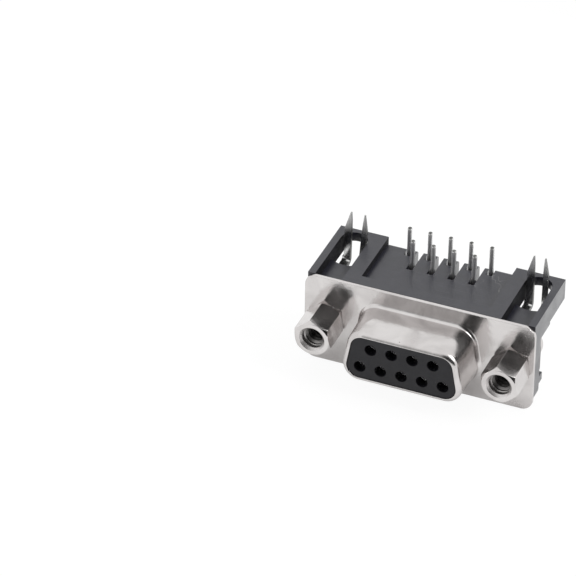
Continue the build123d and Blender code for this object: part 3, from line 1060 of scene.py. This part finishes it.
def without_tail(work):
    """Cut the drawn tail off behind the collar and close the collar's rear."""
    tail = [vertex for vertex in work.verts if vertex.co.y > TAIL_CUT_OFF]
    bmesh.ops.delete(work, geom=tail, context="VERTS")
    open_edges = [edge for edge in work.edges if edge.is_boundary]
    bmesh.ops.holes_fill(work, edges=open_edges)


for number, (x, z) in enumerate(socket_axes, start=1):
    node = f"contact_{number}"
    _, rear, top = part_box(node)[1]
    contact = dress(node, CONTACT_EDGE, reshape=without_tail, segments=2)
    run = rear - TAIL_SIZES["Wire radius"] - TAIL_START
    tail = run_tree(contact_tail, contact_plate, {"Run": run, "Rise": top - z})
    join_to(contact, [(tail, (x, TAIL_START, z))])
    refinish(contact, cut_edge, lambda face: face.center.z > top - CUT_TIP)
print("contacts done, the last has", len(contact.data.polygons), "faces")

# %% [markdown]
# ## The hidden retainer
# The plate behind the contacts is out of sight in every view, so the frame's own solid stays and only gets
# a better material. A frame piece is never moved or reshaped, but its material slots may be set.

# %% Retainer
retainer = nodes["contact_retainer"]
retainer.data.materials.clear()
retainer.data.materials.append(SLOT_FINISH[slot_of["contact_retainer"]])
print("finished in place:", retainer.name)

# %% [markdown]
# ## The floor
# The photograph is a cut-out on white: soft light from all round and hardly any shadow. The floor is a
# white sheet. A plain white surface would come out grey wherever the part keeps the light off it, so to
# the camera it is mostly an even glow, as white as the background, with enough of the real paper left for
# a faint shadow that shows what the connector stands on. In reflections it glows less, because the faces
# that mirror it would turn too pale.

# %% Floor
FLOOR_LEVEL = -6.3 * MM
FLOOR_HALF = 90 * MM
FIBRE_SIZE = 0.9 * MM
PAPER_DARK = (0.86, 0.86, 0.86)
PAPER_PALE = (0.89, 0.89, 0.89)
GLOW_STRENGTH = 1.03
GLOW_SEEN = 0.90
GLOW_MIRRORED = 0.25


def white_paper():
    """Matt white that looks evenly lit to the camera and in reflections, apart from a soft shadow."""
    material, tree, shader = new_finish("white_paper", Roughness=0.9)
    fibre = grain(tree, place_on_piece(tree), FIBRE_SIZE, detail=4)
    tree.links.new(blend_colours(tree, fibre, PAPER_DARK, PAPER_PALE), shader.inputs["Base Color"])
    rays = add(tree, "ShaderNodeLightPath").outputs
    mirrored = calculate(tree, "MAXIMUM", rays["Is Glossy Ray"], rays["Is Transmission Ray"])
    mirrored = calculate(tree, "MULTIPLY", mirrored, GLOW_MIRRORED)
    seen = calculate(tree, "MULTIPLY", rays["Is Camera Ray"], GLOW_SEEN)
    glow = add(tree, "ShaderNodeEmission", Color=(1, 1, 1, 1), Strength=GLOW_STRENGTH)
    paper = add(tree, "ShaderNodeMixShader", Fac=calculate(tree, "MAXIMUM", seen, mirrored))
    tree.links.new(shader.outputs[0], paper.inputs[1])
    tree.links.new(glow.outputs[0], paper.inputs[2])
    tree.links.new(paper.outputs[0], tree.nodes["Material Output"].inputs["Surface"])
    return material


corners = [(x * FLOOR_HALF, y * FLOOR_HALF, FLOOR_LEVEL) for x, y in ((-1, -1), (1, -1), (1, 1), (-1, 1))]
floor_mesh = bpy.data.meshes.new("floor")
floor_mesh.from_pydata(corners, [], [(0, 1, 2, 3)])
floor_mesh.materials.append(white_paper())
floor = bpy.data.objects.new("floor", floor_mesh)
bpy.context.scene.collection.objects.link(floor)
print("floor at", round(FLOOR_LEVEL / MM, 3), "mm")

# %% [markdown]
# ## The studio
# A world that is white all over would make the plating look like plaster, because bright metal shows only
# what it mirrors. In a real studio the side where the camera stands is dark, and that is what draws the
# dark patches on the hex flats and the shell. So the world is white, with one soft dark side. The camera
# itself sees plain white behind the part. One weak lamp from the right gives the shadows a direction.

# %% World
DARK_SIDE = (0.45, -0.85, 0.22)
DARK_FROM = 0.56
DARK_TO = 0.86
DARK_LEVEL = 0.02

world = bpy.data.worlds.new("studio")
world.use_nodes = True
bpy.context.scene.world = world
sky = world.node_tree
background = sky.nodes["Background"]
background.inputs["Color"].default_value = (1, 1, 1, 1)
direction = add(sky, "ShaderNodeTexCoord").outputs["Generated"]
towards_dark = add(sky, "ShaderNodeVectorMath", {"operation": "DOT_PRODUCT"})
sky.links.new(direction, towards_dark.inputs[0])
towards_dark.inputs[1].default_value = Vector(DARK_SIDE).normalized()
room = spread(sky, towards_dark.outputs["Value"], DARK_FROM, DARK_TO, 1.0, DARK_LEVEL)
sky_rays = add(sky, "ShaderNodeLightPath").outputs
plain = calculate(sky, "MAXIMUM", sky_rays["Is Camera Ray"], sky_rays["Is Transmission Ray"])
strength = add(sky, "ShaderNodeMix", {"data_type": "FLOAT"})
sky.links.new(plain, strength.inputs[0])
sky.links.new(room, strength.inputs[2])
strength.inputs[3].default_value = 1.0
sky.links.new(strength.outputs[0], background.inputs["Strength"])
bpy.context.scene.view_settings.view_transform = "Standard"
print("the dark side is at", DARK_LEVEL, "of the room's brightness")

# %% Lamp
LAMP_PLACE = Vector((0.45, 0.05, 0.38))
LAMP_SIZE = 0.30
LAMP_POWER = 2.0

lamp_data = bpy.data.lights.new("key_lamp", "AREA")
lamp_data.shape = "SQUARE"
lamp_data.size = LAMP_SIZE
lamp_data.energy = LAMP_POWER
lamp = bpy.data.objects.new("key_lamp", lamp_data)
lamp.location = LAMP_PLACE
lamp.rotation_euler = (-LAMP_PLACE).to_track_quat("-Z", "Y").to_euler()
bpy.context.scene.collection.objects.link(lamp)
print("lamp is", round(LAMP_PLACE.length, 2), "m from the part")
